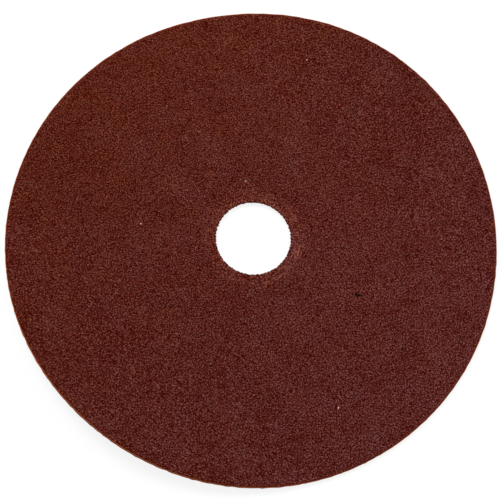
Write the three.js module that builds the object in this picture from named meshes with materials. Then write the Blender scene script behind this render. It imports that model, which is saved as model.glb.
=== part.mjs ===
// Round abrasive disc: a vulcanised fibre backing with a coat of resin and grain on its upper
// face, die-cut as one sheet with a plain arbor hole, and slightly curled in use or storage.
// Frame: millimetres, +Z up out of the grain face, +X and +Y in the plane of the disc.
// Origin: on the hole's axis, at the back face, where the disc lies on a flat surface.

import * as THREE from 'three';
import { mergeVertices, toCreasedNormals } from 'three/addons/utils/BufferGeometryUtils.js';

// Plan of the flat blank
const discDiameter = 101.6;
const boreDiameter = 15.875;

// Build-up through the thickness
const backingThickness = 0.8;
const coatThickness = 0.35;

// Cut edges: the coat ends a little inside each cut, and its shoulder is rounded over
const cutRounding = 0.15;
const coatSetback = 0.12;
const shoulderWidth = 0.25;

// Band round the hole where the punch pressed the coat down
const pressedBand = 1.9;
const pressedDepth = 0.08;

// Curl: a flat strip across the middle, and a wing on each side that rises on an arc
const flatHalfWidth = 22;
const curlRadius = 104;
const curlHeading = 45;

// Fineness of the faceted surface
const sectors = 96;
const ringSpacing = 4.5;
const roundSteps = 2;

const discRadius = discDiameter / 2;
const boreRadius = boreDiameter / 2;
const fullThickness = backingThickness + coatThickness;

// A straight run of the section, split so that no ring is wider than the ring spacing.
function straight(fromRadius, fromHeight, toRadius, toHeight) {
  const start = new THREE.Vector2(fromRadius, fromHeight);
  const end = new THREE.Vector2(toRadius, toHeight);
  const steps = Math.max(1, Math.ceil(start.distanceTo(end) / ringSpacing));
  return new THREE.LineCurve(start, end).getPoints(steps);
}

// A quarter of an ellipse about (centreRadius, centreHeight), counterclockwise from fromDegrees.
function quarter(centreRadius, centreHeight, width, height, fromDegrees) {
  const from = THREE.MathUtils.degToRad(fromDegrees);
  const curve = new THREE.EllipseCurve(
    centreRadius, centreHeight, width, height, from, from + Math.PI / 2,
  );
  return curve.getPoints(roundSteps);
}

// A smooth step between two levels, level at both of its ends.
function easedStep(fromRadius, fromHeight, toRadius, toHeight) {
  const middle = (fromRadius + toRadius) / 2;
  const curve = new THREE.CubicBezierCurve(
    new THREE.Vector2(fromRadius, fromHeight),
    new THREE.Vector2(middle, fromHeight),
    new THREE.Vector2(middle, toHeight),
    new THREE.Vector2(toRadius, toHeight),
  );
  return curve.getPoints(2 * roundSteps);
}

// The section of the flat blank as a closed loop of (radius, height above the back face),
// counterclockwise: out along the back, up the rim, in along the grain face, down the hole.
function blankSection() {
  const coatRim = discRadius - coatSetback;
  const coatBore = boreRadius + coatSetback;
  const pressedEdge = coatBore + shoulderWidth;
  const bandEdge = pressedEdge + pressedBand;
  const pressedHeight = fullThickness - pressedDepth;
  const runs = [
    straight(boreRadius + cutRounding, 0, discRadius - cutRounding, 0),
    quarter(discRadius - cutRounding, cutRounding, cutRounding, cutRounding, 270),
    straight(discRadius, cutRounding, discRadius, backingThickness),
    straight(discRadius, backingThickness, coatRim, backingThickness),
    quarter(coatRim - shoulderWidth, backingThickness, shoulderWidth, coatThickness, 0),
    straight(coatRim - shoulderWidth, fullThickness, bandEdge, fullThickness),
    easedStep(bandEdge, fullThickness, pressedEdge, pressedHeight),
    quarter(pressedEdge, backingThickness, shoulderWidth, coatThickness - pressedDepth, 90),
    straight(coatBore, backingThickness, boreRadius, backingThickness),
    straight(boreRadius, backingThickness, boreRadius, cutRounding),
    quarter(boreRadius + cutRounding, cutRounding, cutRounding, cutRounding, 180),
  ];
  const loop = runs.flatMap((run) => run.slice(0, -1));
  return [...loop, loop[0].clone()];
}

// Bends the flat blank: past the flat strip, the sheet follows an arc of curlRadius upwards and
// the back face keeps its length, so the outline seen from above draws in a little.
function curl(geometry) {
  const heading = THREE.MathUtils.degToRad(curlHeading);
  const across = new THREE.Vector3(Math.cos(heading), Math.sin(heading), 0);
  const position = geometry.getAttribute('position');
  const point = new THREE.Vector3();
  for (let i = 0; i < position.count; i += 1) {
    point.fromBufferAttribute(position, i);
    const along = point.dot(across);
    const pastStrip = Math.abs(along) - flatHalfWidth;
    if (pastStrip > 0) {
      const angle = pastStrip / curlRadius;
      const toCentre = curlRadius - point.z;
      const reach = flatHalfWidth + toCentre * Math.sin(angle);
      point.addScaledVector(across, Math.sign(along) * reach - along);
      point.z = curlRadius - toCentre * Math.cos(angle);
      position.setXYZ(i, point.x, point.y, point.z);
    }
  }
}

function discGeometry() {
  const lathed = new THREE.LatheGeometry(blankSection(), sectors);
  lathed.rotateX(Math.PI / 2);
  lathed.deleteAttribute('normal');
  lathed.deleteAttribute('uv');
  const geometry = mergeVertices(lathed);
  curl(geometry);
  return toCreasedNormals(geometry, THREE.MathUtils.degToRad(30));
}

const grainCoat = new THREE.MeshStandardMaterial({
  color: 0x56241d,
  roughness: 0.9,
  metalness: 0,
});

const disc = new THREE.Mesh(discGeometry(), grainCoat);
disc.name = 'sanding_disc';

const group = new THREE.Group();
group.add(disc);

export default group;
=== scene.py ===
import math

import bpy
import numpy as np
from mathutils import Matrix, Vector


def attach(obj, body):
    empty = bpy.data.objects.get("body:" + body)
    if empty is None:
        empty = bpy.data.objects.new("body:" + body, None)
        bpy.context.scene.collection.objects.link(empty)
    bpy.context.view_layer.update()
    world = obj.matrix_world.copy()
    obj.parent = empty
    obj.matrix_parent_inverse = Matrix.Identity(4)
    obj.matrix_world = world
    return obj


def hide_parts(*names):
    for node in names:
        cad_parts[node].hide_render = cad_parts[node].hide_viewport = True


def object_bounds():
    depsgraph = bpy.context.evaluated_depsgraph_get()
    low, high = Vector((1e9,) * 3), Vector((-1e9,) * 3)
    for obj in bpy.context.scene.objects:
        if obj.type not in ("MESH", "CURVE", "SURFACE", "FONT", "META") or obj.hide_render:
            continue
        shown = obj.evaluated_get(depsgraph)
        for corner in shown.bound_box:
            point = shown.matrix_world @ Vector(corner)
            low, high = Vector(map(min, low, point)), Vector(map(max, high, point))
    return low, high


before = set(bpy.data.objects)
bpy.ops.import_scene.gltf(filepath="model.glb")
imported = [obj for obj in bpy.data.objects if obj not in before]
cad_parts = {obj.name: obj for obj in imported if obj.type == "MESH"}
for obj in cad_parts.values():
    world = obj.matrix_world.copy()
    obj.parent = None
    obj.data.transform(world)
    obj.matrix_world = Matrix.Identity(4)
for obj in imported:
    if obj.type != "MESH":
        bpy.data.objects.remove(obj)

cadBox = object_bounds()
discNode = "sanding_disc"

# the sheet itself, in metres, as the solid has it
sheet = {
    "radius": 0.0508,
    "bore": 0.0079375,
    "backing": 0.0008,  # thickness of the vulcanised fibre
    "setback": 0.00012,  # the coat ends this far inside each cut edge
    "shoulder": 0.00025,  # width over which the coat rounds down to its edge
    "cutRounding": 0.00015,
    "band": 0.0019,  # pressed ring round the hole
    "bandDepth": 0.00008,
    "flatHalfWidth": 0.022,
    "curlRadius": 0.104,
    "curlHeading": math.radians(45),
}
sheet["edgeWidth"] = sheet["setback"] + sheet["shoulder"]
sheet["bandInner"] = sheet["bore"] + sheet["setback"] + sheet["shoulder"]
sheet["bandOuter"] = sheet["bandInner"] + sheet["band"]


# Bends flat points (x, y, h) as the sheet is bent. With d the distance across the curl and
# t = (|d| - flatHalfWidth) / curlRadius where that is above zero, else 0:
# d' = flatHalfWidth + (curlRadius - h) sin t and z = curlRadius - (curlRadius - h) cos t.
def bendSheet(points):
    across = np.array([math.cos(sheet["curlHeading"]), math.sin(sheet["curlHeading"])])
    distance = points[..., :2] @ across
    past = np.abs(distance) - sheet["flatHalfWidth"]
    turn = np.maximum(past, 0) / sheet["curlRadius"]
    toCentre = sheet["curlRadius"] - points[..., 2]
    reach = sheet["flatHalfWidth"] + toCentre * np.sin(turn)
    shift = np.where(past > 0, np.sign(distance) * reach - distance, 0)
    bent = points.copy()
    bent[..., :2] += shift[..., None] * across
    bent[..., 2] = np.where(past > 0, sheet["curlRadius"] - toCentre * np.cos(turn), points[..., 2])
    return bent


# How far (x, y) lies from the hole's axis along a heading: x cos heading + y sin heading.
def along(x, y, heading):
    return x * math.cos(heading) + y * math.sin(heading)


# Random hills: the sum of cosines of random heading and phase, with wavelengths between the two
# lengths, scaled so that most of it lies between -1 and 1.
def hills(x, y, lengths, seed, waves=28):
    rng = np.random.default_rng(seed)
    heading = rng.uniform(0, 2 * math.pi, waves)
    number = 2 * math.pi / rng.uniform(*lengths, waves)
    phase = rng.uniform(0, 2 * math.pi, waves)
    total = np.zeros_like(x)
    for a, k, p in zip(heading, number, phase):
        total += np.cos(k * along(x, y, a) + p)
    return total / math.sqrt(waves)


# Unevenness along a cut edge: the sum of cosines of whole harmonics of the angle, each between
# the two orders and with a random phase, scaled so that most of it lies between -1 and 1.
def edgeWander(angle, orders, seed, waves=24):
    rng = np.random.default_rng(seed)
    harmonics = rng.integers(*orders, waves)
    phase = rng.uniform(0, 2 * math.pi, waves)
    total = np.zeros_like(angle)
    for k, p in zip(harmonics, phase):
        total += np.cos(k * angle + p)
    return total / math.sqrt(waves)


# A smooth ramp from 0 at start to 1 at end, level at both.
def ease(value, start, end):
    t = np.clip((value - start) / (end - start), 0, 1)
    return t * t * (3 - 2 * t)


# Bends the flat points with the sheet and puts them, their faces and their values into a new
# object at the origin.
def layMesh(name, flat, faces, values, material, smooth):
    mesh = bpy.data.meshes.new(name)
    points = bendSheet(flat).reshape(-1, 3)
    corners = faces.shape[1]
    mesh.vertices.add(len(points))
    mesh.vertices.foreach_set("co", points.astype(np.float32).ravel())
    mesh.loops.add(faces.size)
    mesh.loops.foreach_set("vertex_index", faces.astype(np.int32).ravel())
    mesh.polygons.add(len(faces))
    mesh.polygons.foreach_set("loop_start", np.arange(0, faces.size, corners, dtype=np.int32))
    mesh.polygons.foreach_set("use_smooth", np.full(len(faces), smooth))
    for label, numbers in values.items():
        layer = mesh.attributes.new(label, "FLOAT", "POINT")
        layer.data.foreach_set("value", numbers.astype(np.float32).ravel())
    mesh.update(calc_edges=True)
    mesh.materials.append(material)
    piece = bpy.data.objects.new(name, mesh)
    bpy.context.scene.collection.objects.link(piece)
    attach(piece, "root")
    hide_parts(discNode)
    print(name, "has", len(mesh.vertices), "points and", len(mesh.polygons), "faces")


# Quads of a surface that closes on itself both ways: rows go round the hole, columns round
# the section. The point of row i and column j is number i * columns + j.
def ringFaces(rows, columns):
    i, j = np.meshgrid(np.arange(rows), np.arange(columns), indexing="ij")
    nextRow = (i + 1) % rows
    nextColumn = (j + 1) % columns
    corners = [
        i * columns + j,
        nextRow * columns + j,
        nextRow * columns + nextColumn,
        i * columns + nextColumn,
    ]
    return np.stack(corners, axis=-1).reshape(-1, 4)


# One output socket of a node tree; arithmetic on it adds Math nodes, from either side.
class Signal:
    def __init__(self, tree, socket):
        self.tree = tree
        self.socket = socket

    def maths(self, operation, *terms):
        node = self.tree.nodes.new("ShaderNodeMath")
        node.operation = operation
        for entry, term in zip(node.inputs, terms):
            if isinstance(term, Signal):
                self.tree.links.new(term.socket, entry)
            else:
                entry.default_value = term
        return Signal(self.tree, node.outputs[0])

    def __add__(self, other):
        return self.maths("ADD", self, other)

    def __radd__(self, other):
        return self.maths("ADD", other, self)

    def __sub__(self, other):
        return self.maths("SUBTRACT", self, other)

    def __rsub__(self, other):
        return self.maths("SUBTRACT", other, self)

    def __mul__(self, other):
        return self.maths("MULTIPLY", self, other)

    def __rmul__(self, other):
        return self.maths("MULTIPLY", other, self)

    def __truediv__(self, other):
        return self.maths("DIVIDE", self, other)

    def __pow__(self, other):
        return self.maths("POWER", self, other)

    def __neg__(self):
        return self.maths("MULTIPLY", self, -1)

    def clip(self):
        return self.maths("MINIMUM", self.maths("MAXIMUM", self, 0), 1)

    def size(self):
        return self.maths("ABSOLUTE", self)

    def sine(self):
        return self.maths("SINE", self)

    # 0 below start and 1 above end, straight between them
    def ramp(self, start, end):
        return ((self - start) / (end - start)).clip()


# A material under construction: node() makes any node from its settings and its sockets.
class Finish:
    def __init__(self, name):
        self.material = bpy.data.materials.new(name)
        self.material.use_nodes = True
        self.tree = self.material.node_tree
        self.surface = self.tree.nodes["Principled BSDF"]

    def node(self, kind, settings, sockets, output=0):
        node = self.tree.nodes.new(kind)
        for label, value in settings.items():
            setattr(node, label, value)
        self.fill(node, sockets)
        return Signal(self.tree, node.outputs[output])

    def fill(self, node, sockets):
        for label, value in sockets.items():
            if isinstance(value, Signal):
                self.tree.links.new(value.socket, node.inputs[label])
            else:
                node.inputs[label].default_value = value

    def place(self):
        return self.node("ShaderNodeTexCoord", {}, {}, "Object")

    def axis(self, place, letter):
        return self.node("ShaderNodeSeparateXYZ", {}, {"Vector": place}, letter)

    def vector(self, x, y, z):
        return self.node("ShaderNodeCombineXYZ", {}, {"X": x, "Y": y, "Z": z})

    def attribute(self, label):
        return self.node("ShaderNodeAttribute", {"attribute_name": label}, {}, "Fac")

    def noise(self, vector, scale, detail=2.0, roughness=0.5):
        sockets = {"Vector": vector, "Scale": scale, "Detail": detail, "Roughness": roughness}
        return self.node("ShaderNodeTexNoise", {}, sockets, "Fac")

    # first colour where factor is 0, second where it is 1
    def blend(self, factor, first, second, mode="MIX"):
        settings = {"data_type": "RGBA", "blend_type": mode}
        return self.node("ShaderNodeMix", settings, {0: factor, 6: first, 7: second}, 2)

    def bump(self, height, distance, strength=1.0):
        sockets = {"Height": height, "Distance": distance, "Strength": strength}
        return self.node("ShaderNodeBump", {}, sockets, "Normal")

    def dress(self, sockets):
        self.fill(self.surface, sockets)
        return self.material


# Colours are linear red, green, blue.
def opaque(red, green, blue):
    return (red, green, blue, 1.0)


# Camera, from the outline and the hole of the disc in the photograph
view = {
    "tilt": math.radians(16.25),  # away from looking straight down
    "tiltAxis": math.radians(-11.1),
    "distance": 0.2431,
    "lens": 84.35,
    "sensor": 36.0,
    "frame": 500,
    "aimPixel": (253.15, 239.35),  # where the hole's axis meets the back face
    "nearClip": 0.01,
}


# The camera looks at the hole and leans back from its axis by the tilt, about the tilt axis.
def placeCamera():
    axis = Vector((math.cos(view["tiltAxis"]), math.sin(view["tiltAxis"]), 0))
    far = Vector((-axis.y, axis.x, 0))
    up = Vector((0, 0, 1))
    back = up * math.cos(view["tilt"]) - far * math.sin(view["tilt"])
    rise = far * math.cos(view["tilt"]) + up * math.sin(view["tilt"])
    right = axis * math.cos(view["tiltAxis"]) - rise * math.sin(view["tiltAxis"])
    top = axis * math.sin(view["tiltAxis"]) + rise * math.cos(view["tiltAxis"])
    lens = bpy.data.cameras.new("camera")
    lens.lens = view["lens"]
    lens.sensor_width = view["sensor"]
    lens.sensor_fit = "HORIZONTAL"
    half = view["frame"] / 2
    lens.shift_x = -(view["aimPixel"][0] - half) / view["frame"]
    lens.shift_y = (view["aimPixel"][1] - half) / view["frame"]
    lens.clip_start = view["nearClip"]
    camera = bpy.data.objects.new("camera", lens)
    turn = Matrix((right, top, back)).transposed().to_4x4()
    camera.matrix_world = Matrix.Translation(back * view["distance"]) @ turn
    bpy.context.scene.collection.objects.link(camera)
    bpy.context.scene.camera = camera
    print("camera placed")


# Light, floor and background
studio = {
    "keyPlace": (-0.30, 0.54, 0.75),
    "keySize": 0.5,
    "keyPower": 5.6,
    "fillPlace": (0.55, 0.45, 0.50),
    "fillSize": 0.7,
    "fillPower": 2.2,
    "worldLight": 0.42,
    "floorShare": 0.20,  # the floor's own colour, which the lamps light and the disc shades
    "floorGlow": 0.84,  # what it adds for the camera, up to white
    "floorSize": 6.0,
    "floorDrop": 0.00002,
}


def addLamp(name, place, size, power):
    lamp = bpy.data.lights.new(name, "AREA")
    lamp.shape = "DISK"
    lamp.size = size
    lamp.energy = power
    holder = bpy.data.objects.new(name, lamp)
    turn = (-Vector(place)).to_track_quat("-Z", "Y").to_matrix().to_4x4()
    holder.matrix_world = Matrix.Translation(Vector(place)) @ turn
    bpy.context.scene.collection.objects.link(holder)


# 1 for a ray that shows the background, straight from the camera or by a gloss or a glass.
def seenRay(tree):
    path = tree.nodes.new("ShaderNodeLightPath")
    camera, glossy, through = (
        Signal(tree, path.outputs[label])
        for label in ("Is Camera Ray", "Is Glossy Ray", "Is Transmission Ray")
    )
    return (camera + glossy + through).clip()


def lightWorld():
    world = bpy.data.worlds.new("studio_world")
    bpy.context.scene.world = world
    world.use_nodes = True
    strength = studio["worldLight"] + seenRay(world.node_tree) * (1 - studio["worldLight"])
    background = world.node_tree.nodes["Background"]
    background.inputs["Color"].default_value = opaque(1, 1, 1)
    world.node_tree.links.new(strength.socket, background.inputs["Strength"])


def layFloor():
    finish = Finish("studio_floor")
    glow = seenRay(finish.tree) * studio["floorGlow"]
    share = studio["floorShare"]
    finish.dress({
        "Base Color": opaque(share, share, share),
        "Roughness": 1.0,
        "Specular IOR Level": 0.0,
        "Emission Color": finish.blend(glow, opaque(0, 0, 0), opaque(1, 1, 1)),
        "Emission Strength": 1.0,
    })
    half = studio["floorSize"] / 2
    level = cadBox[0][2] - studio["floorDrop"]
    corners = [
        (-half, -half, level),
        (half, -half, level),
        (half, half, level),
        (-half, half, level),
    ]
    mesh = bpy.data.meshes.new("studio_floor")
    mesh.from_pydata(corners, [], [(0, 1, 2, 3)])
    mesh.materials.append(finish.material)
    floor = bpy.data.objects.new("studio_floor", mesh)
    bpy.context.scene.collection.objects.link(floor)


def lightStudio():
    bpy.context.scene.view_settings.view_transform = "Standard"
    addLamp("key_light", studio["keyPlace"], studio["keySize"], studio["keyPower"])
    addLamp("fill_light", studio["fillPlace"], studio["fillSize"], studio["fillPower"])
    lightWorld()
    layFloor()
    print("studio lit")


# Fibre backing
backing = {
    "sectors": 480,
    "flatSteps": 26,
    "edgeSteps": 10,
    "ledgeSteps": 4,
    "cornerSteps": 4,
    "wander": 0.00003,  # how far the rim strays from the circle
    "wanderOrders": (20, 150),  # in waves round the disc
    "wanderSeed": 11,
    "boreWander": 0.00005,
    "boreOrders": (8, 70),
    "boreSeed": 13,
    "tear": 0.00004,  # rougher, torn lower part of the cut
    "tearOrders": (90, 230),
    "tearSeed": 12,
    "backColour": opaque(0.150, 0.043, 0.021),
    "backDark": opaque(0.095, 0.026, 0.014),
    "cutColour": opaque(0.430, 0.090, 0.016),
    "cutDark": opaque(0.250, 0.040, 0.007),
    # the cut wall in the hole, coloured darker than the rim's cut as painted shade inside the hole
    "boreShadedColour": opaque(0.120, 0.040, 0.020),
    "boreShadedDark": opaque(0.060, 0.014, 0.007),
    "plies": 9,
    "cloudScale": 90,  # scales of the noises, in waves per metre
    "strandScale": 520,
    "speckScale": 2600,
    "strandTurn": 0.5,
    "strandStretch": 7,
    "roughness": 0.62,
    "specular": 0.25,
    "bumpDepth": 0.00006,
    "bumpStrength": 0.7,
}


# The back is calendered fibre with faint long strands. The cut shows its plies edge on.
def backingFinish():
    finish = Finish("vulcanised_fibre")
    place = finish.place()
    cut = finish.attribute("cut")
    bore = finish.attribute("bore")
    ply = finish.attribute("ply")
    drawn = finish.node("ShaderNodeMapping", {}, {
        "Vector": place,
        "Rotation": (0, 0, backing["strandTurn"]),
        "Scale": (1, backing["strandStretch"], 1),
    })
    cloud = finish.noise(place, backing["cloudScale"], 3)
    strands = finish.noise(drawn, backing["strandScale"], 4, 0.62)
    specks = finish.noise(place, backing["speckScale"], 2)
    worn = (cloud * 0.5 + strands * 0.9 - 0.25).clip()
    back = finish.blend(worn, backing["backDark"], backing["backColour"])
    layers = (ply * (2 * math.pi * backing["plies"]) + specks * 5).sine() * 0.5 + 0.5
    frayed = (layers * 0.35 + cloud * 0.6 + specks * 0.4).clip()
    rim = finish.blend(frayed, backing["cutDark"], backing["cutColour"])
    # painted shade: the cut wall in the hole takes the darker bore colours
    hole = finish.blend(frayed, backing["boreShadedDark"], backing["boreShadedColour"])
    colour = finish.blend(cut, back, finish.blend(bore, rim, hole))
    height = strands * 0.5 + specks * (0.3 + cut * 0.8) + layers * cut * 0.5
    return finish.dress({
        "Base Color": colour,
        "Roughness": backing["roughness"] + strands * 0.12 + cut * 0.18,
        "Specular IOR Level": backing["specular"],
        "Normal": finish.bump(height, backing["bumpDepth"], backing["bumpStrength"]),
    })


# A closed loop of (radius, height): out along the back, up the rim, in under the coat, down the
# hole. The lower corners are quarter circles.
def backingSection():
    inner, outer, thick = sheet["bore"], sheet["radius"], sheet["backing"]
    bend, width = sheet["cutRounding"], sheet["edgeWidth"]
    middle = outer - inner - 2 * width
    steps = np.linspace(0, 1, backing["flatSteps"], endpoint=False)
    short = np.linspace(0, 1, backing["edgeSteps"], endpoint=False)
    ledge = np.linspace(0, 1, backing["ledgeSteps"], endpoint=False)
    corner = np.linspace(0, math.pi / 2, backing["cornerSteps"], endpoint=False)
    runs = [
        (np.array([inner + bend]), np.zeros(1)),
        (inner + width + middle * steps, 0 * steps),
        (np.array([outer - width]), np.zeros(1)),
        (outer - bend + bend * np.sin(corner), bend - bend * np.cos(corner)),
        (outer + 0 * short, bend + (thick - bend) * short),
        (outer - width * ledge, thick + 0 * ledge),
        (outer - width - middle * steps, thick + 0 * steps),
        (inner + width * (1 - ledge), thick + 0 * ledge),
        (inner + 0 * short, thick - (thick - bend) * short),
        (inner + bend - bend * np.cos(corner), bend - bend * np.sin(corner)),
    ]
    radius = np.concatenate([run[0] for run in runs])
    height = np.concatenate([run[1] for run in runs])
    return radius, height


# Each section point (r, h) goes to (r cos a, r sin a, h). Within an edge's reach, r also strays
# by the wander, and more towards the torn lower side.
def makeBacking():
    radius, height = backingSection()
    angle = np.linspace(0, 2 * math.pi, backing["sectors"], endpoint=False)[:, None]
    reach = sheet["edgeWidth"]
    atRim = ease(radius, sheet["radius"] - reach, sheet["radius"])[None, :]
    atBore = ease(-radius, -sheet["bore"] - reach, -sheet["bore"])[None, :]
    low = (1 - ease(height, 0, sheet["backing"]))[None, :]
    rimWander = edgeWander(angle, backing["wanderOrders"], backing["wanderSeed"])
    boreWander = edgeWander(angle, backing["boreOrders"], backing["boreSeed"])
    tear = edgeWander(angle, backing["tearOrders"], backing["tearSeed"])
    rimStray = rimWander * backing["wander"]
    boreStray = boreWander * backing["boreWander"]
    torn = tear * low * backing["tear"]
    spread = radius[None, :] + atRim * (rimStray + torn) + atBore * (boreStray + torn)
    level = np.broadcast_to(height, spread.shape)
    points = np.stack([spread * np.cos(angle), spread * np.sin(angle), level], axis=-1)
    values = {
        "cut": np.broadcast_to(np.maximum(atRim, atBore), spread.shape),
        "bore": np.broadcast_to(atBore, spread.shape),
        "ply": level / sheet["backing"],
    }
    faces = ringFaces(*spread.shape)
    layMesh("fibre_backing", points, faces, values, backingFinish(), True)


# Colour of the grain face, which the resin and the grains share, with painted sheen on the grains'
# tops and painted shade in the gaps. Scales are in waves per metre.
paint = {
    "gapDarkAndShadeColour": opaque(0.050, 0.0008, 0.0001),  # from the gaps between the grains, with painted shade
    "middleColour": opaque(0.123, 0.0226, 0.0131),
    "crestPaleAndSheenColour": opaque(0.198, 0.063, 0.050),  # to the tops of the grains, with painted sheen
    "crownPaleAndSheenShare": 0.31,  # what the height on a grain adds to its lightness: paler tips and painted sheen
    "shadeShare": 0.55,  # and what the grain's own shade adds to that
    "gritScale": 3900,
    "gritShare": 4.2,
    "cloudScale": 150,
    "cloudShare": 0.46,
    "darkening": 0.045,  # taken off the lightness everywhere
    "glintColour": opaque(0.70, 0.50, 0.45),  # painted glints: single stray grains made pale as if catching the light
    "blackSpeckColour": opaque(0.003, 0.0006, 0.0004),  # black stray grains, the darkest colour on the face
    "thinColour": opaque(0.150, 0.020, 0.006),  # where the coat runs out over the rim
    "thinShare": 0.6,
    "thinFrom": 0.0006,  # between these distances from the rim
    "thinTo": 0.0002,
    "patchScale": 190,  # uneven border between the two painted light tints
    "patchShare": 1.1,
    "paintedWarmLight": opaque(1.03, 0.94, 0.68),  # painted warmer light, towards the far left
    "paintedCoolLight": opaque(1.04, 1.20, 1.50),  # painted cooler, bluer light, towards the near right
    "tintHeading": math.radians(-42),
    "paintedShadeTint": opaque(0.93, 0.92, 0.92),  # painted shade, darker towards the wing at the near left
    "paintedLightTint": opaque(1.08, 1.09, 1.09),  # painted light, brighter towards the wing at the far right
}

# Scuffs that a flange left round the hole
rub = {
    "colour": opaque(0.330, 0.094, 0.062),
    "zoneFull": 1.20,  # out to here the zone is rubbed, in radii of the hole
    "zoneEnd": 1.40,
    "zoneLevel": 0.06,
    "streakLevel": 0.42,
    "streaksAcross": 2600,  # streaks per metre of radius
    "streaksRound": 7,  # how short they are, round the axis
    "streakEdges": (0.50, 0.64),  # noise below the first is bare, above the second rubbed
    "lineRadius": 0.00975,
    "lineEdges": (0.00010, 0.00034),  # half widths of the line and of its soft border
    "lineLevel": 0.50,
    "lineHeading": math.radians(-55),  # where the line is strongest
    "lineLean": 0.10,  # by how much
    "gapScale": 260,  # gaps that break the line
    "gapEdges": (0.50, 0.62),
}


# Paler where a flange has rubbed: a faint zone from the hole outwards with short streaks round
# the axis in it, and a broken line. The streaks are noise over (r, cos a, sin a), finest along r.
def scuffs(finish, x, y, fromAxis):
    zone = 1 - fromAxis.ramp(sheet["bore"] * rub["zoneFull"], sheet["bore"] * rub["zoneEnd"])
    line = 1 - (fromAxis - rub["lineRadius"]).size().ramp(*rub["lineEdges"])
    towards = along(x, y, rub["lineHeading"]) / fromAxis
    gaps = finish.noise(finish.vector(x, y, 0), rub["gapScale"], 2)
    arcs = (gaps + towards * rub["lineLean"]).ramp(*rub["gapEdges"])
    swept = finish.vector(
        fromAxis * rub["streaksAcross"],
        x / fromAxis * rub["streaksRound"],
        y / fromAxis * rub["streaksRound"],
    )
    streaks = finish.noise(swept, 1, 1).ramp(*rub["streakEdges"])
    rubbed = zone * (rub["zoneLevel"] + streaks * rub["streakLevel"])
    return (rubbed + line * arcs * rub["lineLevel"]).clip()


# The colour of resin and grain. crown is 0 in the gaps and 1 on top of a grain, and the colour
# grows
# lighter with it: partly the grains' paler tips, partly painted sheen on the tops and painted shade
# in the gaps. shade is a grain's own number, above 1 for a painted glint and below 0 for a black
# one.
def grainColour(finish, place, crown, shade):
    x, y = finish.axis(place, "X"), finish.axis(place, "Y")
    fromAxis = (x * x + y * y) ** 0.5
    grit = finish.noise(place, paint["gritScale"], 1, 0.6)
    cloud = finish.noise(place, paint["cloudScale"], 3)
    # painted sheen and shade: the higher on a grain, the lighter, over the grains' own paler tips
    lit = crown * (paint["crownPaleAndSheenShare"] + paint["shadeShare"] * shade.clip())
    lit = lit + (grit - 0.5) * paint["gritShare"] + (cloud - 0.5) * paint["cloudShare"]
    lit = (lit - paint["darkening"]).clip()
    colour = finish.blend((lit * 2).clip(), paint["gapDarkAndShadeColour"], paint["middleColour"])
    colour = finish.blend((lit * 2 - 1).clip(), colour, paint["crestPaleAndSheenColour"])
    rubbed = scuffs(finish, x, y, fromAxis) * (0.10 + lit * 1.5)  # most on the tops
    colour = finish.blend(rubbed.clip(), colour, rub["colour"])
    thinFrom, thinTo = sheet["radius"] - paint["thinFrom"], sheet["radius"] - paint["thinTo"]
    thin = fromAxis.ramp(thinFrom, thinTo) * paint["thinShare"]
    colour = finish.blend(thin, colour, paint["thinColour"])

    # painted light: the face is tinted warmer towards the far left and cooler and bluer towards the
    # near right
    drift = along(x, y, paint["tintHeading"]) / (2 * sheet["radius"]) + 0.5
    patches = (finish.noise(place, paint["patchScale"], 2) - 0.5) * paint["patchShare"]
    paintedLightCast = finish.blend((drift + patches).clip(), paint["paintedWarmLight"], paint["paintedCoolLight"])
    colour = finish.blend(1.0, colour, paintedLightCast, "MULTIPLY")
    # painted light and shade: darker towards the near left wing, brighter towards the far right
    # wing
    rise = along(x, y, sheet["curlHeading"]) / (2 * sheet["radius"]) + 0.5
    paintedWingLight = finish.blend(rise, paint["paintedShadeTint"], paint["paintedLightTint"])
    colour = finish.blend(1.0, colour, paintedWingLight, "MULTIPLY")
    # painted glints: a shade above 1 turns a grain pale, as a grain that catches the light
    colour = finish.blend((shade - 1).clip(), colour, paint["glintColour"])
    return finish.blend((-shade).clip(), colour, paint["blackSpeckColour"]), grit


# Resin coat between the grains
coat = {
    "sectors": 620,
    "rings": 112,
    "shoulderSteps": 6,
    "underSteps": 6,
    "level": 0.00017,  # resin over the backing, between the grains
    "swell": 0.00004,  # how far it rises and falls
    "swellLengths": (0.0009, 0.0024),  # over these wavelengths
    "swellSeed": 22,
    "under": 0.00002,  # how far the coat's own underside sits in the backing
    "pressedShare": 0.5,  # of the pressed band's depth
    "lip": 0.00021,  # how far the punch drew it over the hole's edge
    "lipWander": 0.00007,
    "lipReach": 0.0006,  # the wander fades over this width
    "lipOrders": (9, 90),
    "lipSeed": 21,
    "crown": 0.34,  # how near a grain's top the colour takes the resin to be, for painted sheen and shade
    "crownSwell": 0.10,  # and what its swell adds to that: painted sheen on the rises, painted shade in the hollows
    "shade": 0.5,
    "lumpScale": 1500,
    "roughness": 0.75,
    "specular": 0.02,
    "bumpDepth": 0.00012,
    "bumpStrength": 0.9,
}


def coatFinish():
    finish = Finish("resin_coat")
    place = finish.place()
    crown, shade = finish.attribute("crown"), finish.attribute("shade")
    colour, grit = grainColour(finish, place, crown, shade)
    lumps = finish.noise(place, coat["lumpScale"], 3, 0.6) + grit * 0.4
    return finish.dress({
        "Base Color": colour,
        "Roughness": coat["roughness"],
        "Specular IOR Level": coat["specular"],
        "Normal": finish.bump(lumps, coat["bumpDepth"], coat["bumpStrength"]),
    })


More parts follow.
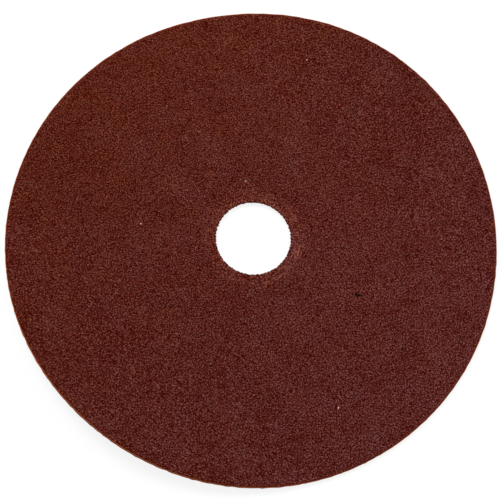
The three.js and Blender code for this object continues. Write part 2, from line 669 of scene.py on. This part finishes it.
# A closed skin round the coat: its top swells with random hills, its shoulders are quarter
# ellipses down to the backing, and its underside lies just inside the backing.
def makeCoat():
    outer = sheet["radius"] - sheet["setback"]
    inner = sheet["bore"] - coat["lip"]
    width, rise = sheet["shoulder"], coat["level"]
    turn = np.linspace(0, math.pi / 2, coat["shoulderSteps"])
    across = np.linspace(outer - width, inner + width, coat["rings"])[1:-1]
    under = np.linspace(inner, outer, coat["underSteps"])
    outerShoulder = outer - width + width * np.cos(turn)
    innerShoulder = inner + width - width * np.sin(turn)
    radius = np.concatenate([outerShoulder, across, innerShoulder, under])
    height = np.concatenate([
        rise * np.sin(turn),
        rise + 0 * across,
        rise * np.cos(turn),
        -coat["under"] + 0 * under,
    ])
    angle = np.linspace(0, 2 * math.pi, coat["sectors"], endpoint=False)[:, None]
    atBore = ease(-radius, -inner - coat["lipReach"], -inner)[None, :]
    wander = edgeWander(angle, coat["lipOrders"], coat["lipSeed"])
    spread = radius[None, :] + atBore * wander * coat["lipWander"]
    x, y = spread * np.cos(angle), spread * np.sin(angle)
    free = ease(height, 0, rise)[None, :]
    relief = hills(x, y, coat["swellLengths"], coat["swellSeed"])
    pressed = 1 - ease(spread, sheet["bandInner"], sheet["bandOuter"])
    sunk = pressed * sheet["bandDepth"] * coat["pressedShare"]
    lift = free * (relief * coat["swell"] - sunk)
    points = np.stack([x, y, sheet["backing"] + height[None, :] + lift], axis=-1)
    # the crown lightens the resin as it rises: painted sheen on the swells and painted shade in the
    # hollows
    values = {
        "crown": free * np.clip(coat["crown"] + relief * coat["crownSwell"], 0, 1),
        "shade": np.full(spread.shape, coat["shade"]),
    }
    faces = ringFaces(*spread.shape)
    layMesh("resin_coat", points, faces, values, coatFinish(), True)


# Grains. The coarse and the medium ones share one bed; the fine ones lie between and on them.
grains = {
    "keepOffRim": 0.00028,  # no grain centre is nearer the coat's rim than this
    "keepOffBore": 0.00008,
    "bedGap": 0.00053,  # least distance between two grains of the bed
    "coarseShare": 0.52,
    "coarse": {"sides": 5, "halfWidth": 0.00028, "height": 0.00019, "seed": 31},
    "medium": {"sides": 5, "halfWidth": 0.00024, "height": 0.00016, "seed": 32},
    "fine": {"sides": 4, "halfWidth": 0.00015, "height": 0.00014, "seed": 33},
    "fineGap": 0.00070,
    "sink": 0.00006,  # how deep the grains' foot rings lie in the resin
    "pressedShare": 0.35,  # how much lower grains on the pressed band are
    "widths": (0.75, 1.25),  # range of single grains, as shares of their kind's width
    "heights": (0.7, 1.3),
    "stretches": (0.68, 1.45),  # from squat to long
    "foot": (0.95, 1.25),  # ring radii, in half widths
    "brow": (0.68, 1.0),
    "browLevel": (0.45, 0.95),  # levels of the brow and the root, in heights
    "rootLevel": -0.25,
    "unevenness": 0.16,
    "lean": 0.22,
    "crowns": {"foot": 0.36, "brow": 0.9, "crest": 1.0, "root": 0.5},  # for the colour: lighter higher up, a paler tip with painted sheen, painted shade at the foot
    "shade": 0.5,  # mean and spread of the grains' own shades
    "shadeSpread": 0.26,
    "roughness": 0.55,
    "specular": 0.05,
    "bumpDepth": 0.00004,
    "bumpStrength": 0.5,
}

# Single grains that stand out, as (x, y, half width) on the flat sheet, in metres. A shade below
# 0 is black and one above 1 is a painted glint, pale as a grain that catches the light.
strays = {
    "sides": 6,
    "height": 0.00030,
    "seed": 34,
    "shades": {"blackClump": -1.0, "paleSpecks": 1.9, "faintSpecks": 1.35},
    "blackClump": [
        (0.02100, -0.01190, 0.00036),
        (0.02134, -0.01203, 0.00038),
        (0.02172, -0.01205, 0.00024),
        (0.02208, -0.01206, 0.00016),
    ],
    "paleSpecks": [
        (0.01193, 0.03985, 0.00018),
        (-0.02322, 0.00285, 0.00020),
        (-0.00153, 0.01236, 0.00020),
        (0.01672, -0.03506, 0.00021),
    ],
    "faintSpecks": [
        (0.02291, 0.02264, 0.00015),
        (-0.00880, -0.02628, 0.00018),
        (-0.01409, 0.02192, 0.00018),
    ],
}


def grainFinish():
    finish = Finish("abrasive_grain")
    place = finish.place()
    crown, shade = finish.attribute("crown"), finish.attribute("shade")
    colour, grit = grainColour(finish, place, crown, shade)
    return finish.dress({
        "Base Color": colour,
        "Roughness": grains["roughness"] + grit * 0.2,
        "Specular IOR Level": grains["specular"],
        "Normal": finish.bump(grit, grains["bumpDepth"], grains["bumpStrength"]),
    })


# Grains land like darts that may not fall nearer to each other than the gap. The plan is cut into
# square cells one gap across their diagonal, so that a cell holds one grain at most. In each
# round every empty cell throws a dart, and it stays if no grain and no luckier dart is too near.
def throwDarts(gap, inner, outer, rng, rounds=14):
    cell = gap / math.sqrt(2)
    count = int(2 * outer / cell) + 6  # empty cells round it keep the rolls from wrapping
    rows, columns = np.meshgrid(np.arange(count), np.arange(count), indexing="ij")
    corners = (np.stack([rows, columns], axis=-1) - count / 2) * cell
    landed = np.full((count, count, 2), np.inf)
    shifts = [(i, j) for i in range(-2, 3) for j in range(-2, 3) if i or j]
    for _ in range(rounds):
        darts = corners + rng.random((count, count, 2)) * cell
        luck = rng.random((count, count))
        fromAxis = np.hypot(darts[..., 0], darts[..., 1])
        thrown = np.isinf(landed[..., 0]) & (fromAxis > inner) & (fromAxis < outer)
        for shift in shifts:
            toGrain = darts - np.roll(landed, shift, (0, 1))
            thrown &= np.hypot(toGrain[..., 0], toGrain[..., 1]) > gap
        stays = thrown.copy()
        for shift in shifts:
            toRival = darts - np.roll(darts, shift, (0, 1))
            close = np.hypot(toRival[..., 0], toRival[..., 1]) < gap
            luckier = np.roll(luck, shift, (0, 1)) > luck
            stays &= ~(close & luckier & np.roll(thrown, shift, (0, 1)))
        landed[stays] = darts[stays]
    return landed[np.isfinite(landed[..., 0])]


# One grain is a lump of few faces: a foot ring in the resin, a narrower brow ring, a crest above
# and a root below. Ring point i of n is at (size u cos a, size u sin a, height w), with its own
# random u and w and with a near i turns of 360 / n degrees. The lump is then stretched one way,
# turned about Z and leaned over.
def growGrains(centre, size, height, shade, sides, rng):
    count = len(centre)
    ring = (count, sides)
    turn = np.arange(sides) * 2 * math.pi / sides + rng.normal(0, grains["unevenness"], ring)
    foot = rng.uniform(*grains["foot"], ring)
    brow = rng.uniform(*grains["brow"], ring)
    crest, root, total = 2 * sides, 2 * sides + 1, 2 * sides + 2
    points = np.zeros((count, total, 3))
    points[:, :sides, 0] = foot * np.cos(turn)
    points[:, :sides, 1] = foot * np.sin(turn)
    points[:, sides:crest, 0] = brow * np.cos(turn)
    points[:, sides:crest, 1] = brow * np.sin(turn)
    points[:, sides:crest, 2] = rng.uniform(*grains["browLevel"], ring)
    points[:, crest, :2] = rng.normal(0, grains["unevenness"], (count, 2))
    points[:, crest, 2] = 1.0
    points[:, root, 2] = grains["rootLevel"]
    stretch = rng.uniform(*grains["stretches"], count)
    yaw = rng.uniform(0, 2 * math.pi, count)[:, None]
    lean = rng.normal(0, grains["lean"], (count, 2))
    x = points[..., 0] * (size * stretch)[:, None]
    y = points[..., 1] * (size / stretch)[:, None]
    up = points[..., 2] * height[:, None]
    flat = np.stack([
        x * np.cos(yaw) - y * np.sin(yaw) + lean[:, :1] * up,
        x * np.sin(yaw) + y * np.cos(yaw) + lean[:, 1:] * up,
        up,
    ], axis=-1)
    flat[..., :2] += centre[:, None, :]
    fromAxis = np.hypot(centre[:, 0], centre[:, 1])
    pressed = 1 - ease(fromAxis, sheet["bandInner"], sheet["bandOuter"])
    flat[..., 2] *= (1 - grains["pressedShare"] * pressed)[:, None]
    flat[..., 2] += sheet["backing"] + coat["level"] - grains["sink"]

    i = np.arange(sides)
    j = (i + 1) % sides
    lump = np.concatenate([
        np.stack([i, j, sides + j], axis=-1),
        np.stack([i, sides + j, sides + i], axis=-1),
        np.stack([sides + i, sides + j, np.full(sides, crest)], axis=-1),
        np.stack([j, i, np.full(sides, root)], axis=-1),
    ])
    faces = (lump[None] + (np.arange(count) * total)[:, None, None]).reshape(-1, 3)
    # painted sheen and shade: crown makes each grain lighter at its brow and crest, darker at its
    # foot
    crown = np.repeat(list(grains["crowns"].values()), [sides, sides, 1, 1])
    values = {
        "crown": np.broadcast_to(crown, (count, total)),
        "shade": np.broadcast_to(shade[:, None], (count, total)),
    }
    return flat, faces, values


def sowGrains(label, centre, rng, material):
    kind = grains[label]
    count = len(centre)
    size = kind["halfWidth"] * rng.uniform(*grains["widths"], count)
    height = kind["height"] * rng.uniform(*grains["heights"], count)
    shade = np.clip(rng.normal(grains["shade"], grains["shadeSpread"], count), 0, 1)
    flat, faces, values = growGrains(centre, size, height, shade, kind["sides"], rng)
    layMesh(label + "_grains", flat, faces, values, material, False)


def makeGrains():
    material = grainFinish()
    inner = sheet["bore"] + grains["keepOffBore"]
    outer = sheet["radius"] - sheet["setback"] - grains["keepOffRim"]
    rng = np.random.default_rng(grains["coarse"]["seed"])
    bed = throwDarts(grains["bedGap"], inner, outer, rng)
    isCoarse = rng.random(len(bed)) < grains["coarseShare"]
    sowGrains("coarse", bed[isCoarse], rng, material)
    rng = np.random.default_rng(grains["medium"]["seed"])
    sowGrains("medium", bed[~isCoarse], rng, material)
    rng = np.random.default_rng(grains["fine"]["seed"])
    sowGrains("fine", throwDarts(grains["fineGap"], inner, outer, rng), rng, material)
    return material


def makeStrays(material):
    shades = strays["shades"]
    spots = np.array([spot for label in shades for spot in strays[label]])
    shade = np.concatenate([np.full(len(strays[label]), shades[label]) for label in shades])
    rng = np.random.default_rng(strays["seed"])
    height = np.full(len(spots), strays["height"])
    centre, size = spots[:, :2], spots[:, 2]
    flat, faces, values = growGrains(centre, size, height, shade, strays["sides"], rng)
    layMesh("stray_grains", flat, faces, values, material, False)


placeCamera()
lightStudio()
makeBacking()
makeCoat()
makeStrays(makeGrains())
